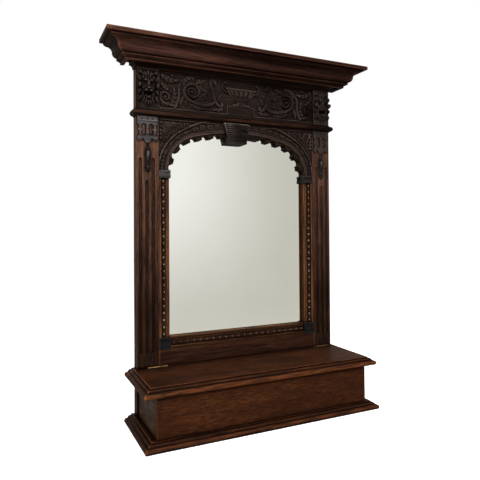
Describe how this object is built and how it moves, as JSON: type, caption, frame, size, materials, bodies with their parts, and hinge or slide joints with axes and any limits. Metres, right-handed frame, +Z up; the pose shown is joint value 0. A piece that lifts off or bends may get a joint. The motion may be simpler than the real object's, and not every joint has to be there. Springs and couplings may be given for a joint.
{
  "type": "dressing mirror",
  "caption": "Upright carved oak mirror frame with a scalloped arch, fluted stiles and a deep cornice, standing on a base board behind a shallow box with a hinged lid.",
  "frame": {"origin": "on the surface that the base board stands on, midway in width and depth of the whole object", "axes": "+Z up, the front faces -Y, +X to the right seen from the front"},
  "size_m": [0.776, 0.233, 1.0015],
  "materials": {
    "oak": "waxed dark oak",
    "oak_warm": "waxed oak, worn to a warmer brown",
    "oak_carved": "waxed carved oak, nearly black in the hollows",
    "slate_stain": "grey-black stained wood, satin",
    "brass": "dull aged brass",
    "looking_glass": "silvered glass",
    "pine": "bare aged pine",
    "iron": "dark aged iron"
  },
  "bodies": {
    "frame": {"base_board": "oak", "box_front": "oak_warm", "box_side_left": "oak_warm", "box_side_right": "oak_warm", "box_back": "oak_warm", "lid_return_left": "oak", "lid_return_right": "oak", "hinge_left_frame_leaf": "brass", "hinge_left_pin": "brass", "hinge_right_frame_leaf": "brass", "hinge_right_pin": "brass", "frame_hinge_screws": "brass", "stile_left": "oak", "stile_right": "oak", "bottom_rail": "oak", "top_rail": "oak", "slip_left": "oak", "slip_right": "oak", "slip_bottom": "oak", "bead_strip_left": "oak_carved", "bead_strip_right": "oak_carved", "bead_strip_bottom": "oak_carved", "impost_left": "slate_stain", "impost_right": "slate_stain", "corner_block_left": "slate_stain", "corner_block_right": "slate_stain", "arch_left": "oak_carved", "arch_right": "oak_carved", "keystone": "oak_carved", "strap_plate_left": "slate_stain", "strap_plate_right": "slate_stain", "drop_left": "oak_carved", "drop_right": "oak_carved", "mask_left": "oak_carved", "mask_right": "oak_carved", "frieze_panel": "oak_carved", "waist_front": "oak_warm", "waist_left": "oak_warm", "waist_right": "oak_warm", "bed_front": "oak", "bed_left": "oak", "bed_right": "oak", "cornice_board": "oak", "crown_front": "oak", "crown_left": "oak", "crown_right": "oak", "glue_blocks": "pine", "mirror_glass": "looking_glass", "back_plank_left": "pine", "back_plank_middle": "pine", "back_plank_right": "pine", "back_nails": "iron", "base_screws": "iron"},
    "lid": {"lid": "oak", "hinge_left_lid_leaf": "brass", "hinge_right_lid_leaf": "brass", "lid_hinge_screws": "brass"}
  },
  "joints": [
    {"name": "lid_hinge", "type": "hinge", "parent": "frame", "child": "lid", "pos_m": [0, 0.0862, 0.1426], "axis": [-1, 0, 0], "range_deg": [0, 88]}
  ]
}
